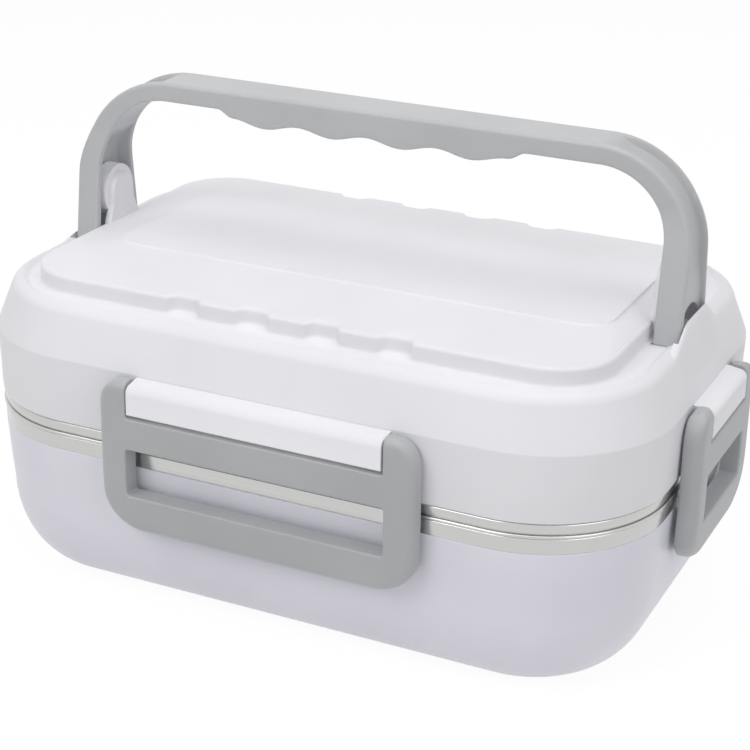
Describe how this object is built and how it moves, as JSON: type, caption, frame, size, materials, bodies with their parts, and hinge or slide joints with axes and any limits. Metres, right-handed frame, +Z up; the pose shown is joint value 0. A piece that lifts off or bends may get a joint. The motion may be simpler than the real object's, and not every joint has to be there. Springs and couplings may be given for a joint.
{
  "type": "electric lunch box",
  "caption": "Electric heated lunch box: rounded base with steel pot, lift-out steel tray, lid with side latches and a folding carrying handle.",
  "frame": {"origin": "on the floor plane, under the middle of the rounded body", "axes": "+X along the long side, towards the end opposite the power inlet; -Y is the front; +Z up"},
  "size_m": [0.2498, 0.1726, 0.1606],
  "materials": {
    "shell_white": "satin moulded plastic",
    "shell_pale": "satin moulded plastic",
    "clip_grey": "fine matt moulded plastic",
    "stainless": "drawn and polished sheet",
    "screw_steel": "zinc plated",
    "heat_spreader": "mill finish",
    "heater": "heat-proof film",
    "silicone": "soft silicone",
    "foot_rubber": "matt rubber",
    "black_plastic": "fine matt",
    "wire_cover": "silicone sleeve",
    "contact_brass": "plated"
  },
  "bodies": {
    "base": {"base_shell": "shell_pale", "bottom_cover": "shell_pale", "cover_screws": "screw_steel", "rubber_feet": "foot_rubber", "steel_pot": "stainless", "heating_plate": "heat_spreader", "ptc_heater": "heater", "heater_clamp": "stainless", "clamp_screws": "screw_steel", "thermostat": "black_plastic", "thermal_fuse": "black_plastic", "wiring": "wire_cover", "power_inlet": "black_plastic", "inlet_contacts": "contact_brass"},
    "tray": {"inner_tray": "stainless"},
    "lid": {"lid_shell": "shell_white", "lid_liner": "shell_white", "seal_ring": "silicone", "latch_pins": "screw_steel"},
    "latch_front": {"latch_front": "clip_grey"},
    "latch_back": {"latch_back": "clip_grey"},
    "latch_left": {"latch_left": "clip_grey"},
    "latch_right": {"latch_right": "clip_grey"},
    "handle": {"handle": "clip_grey", "handle_pins": "screw_steel"}
  },
  "joints": [
    {"name": "lid_lift", "type": "slide", "parent": "base", "child": "lid", "axis": [0, 0, 1], "range_m": [0, 0.12]},
    {"name": "tray_lift", "type": "slide", "parent": "base", "child": "tray", "axis": [0, 0, 1], "range_m": [0, 0.055]},
    {"name": "latch_front_swing", "type": "hinge", "parent": "lid", "child": "latch_front", "pos_m": [0, -0.0831, 0.0832], "axis": [-1, 0, 0], "range_deg": [0, 105]},
    {"name": "latch_back_swing", "type": "hinge", "parent": "lid", "child": "latch_back", "pos_m": [0, 0.0831, 0.0832], "axis": [1, 0, 0], "range_deg": [0, 105]},
    {"name": "latch_left_swing", "type": "hinge", "parent": "lid", "child": "latch_left", "pos_m": [-0.1217, 0, 0.0832], "axis": [0, 1, 0], "range_deg": [0, 105]},
    {"name": "latch_right_swing", "type": "hinge", "parent": "lid", "child": "latch_right", "pos_m": [0.1217, 0, 0.0832], "axis": [0, -1, 0], "range_deg": [0, 105]},
    {"name": "handle_fold", "type": "hinge", "parent": "lid", "child": "handle", "pos_m": [0, 0, 0.1175], "axis": [1, 0, 0], "range_deg": [-83, 83]}
  ],
  "couplings": [
    {"joint": "tray_lift", "follows": "lid_lift", "ratio": 0.45}
  ]
}
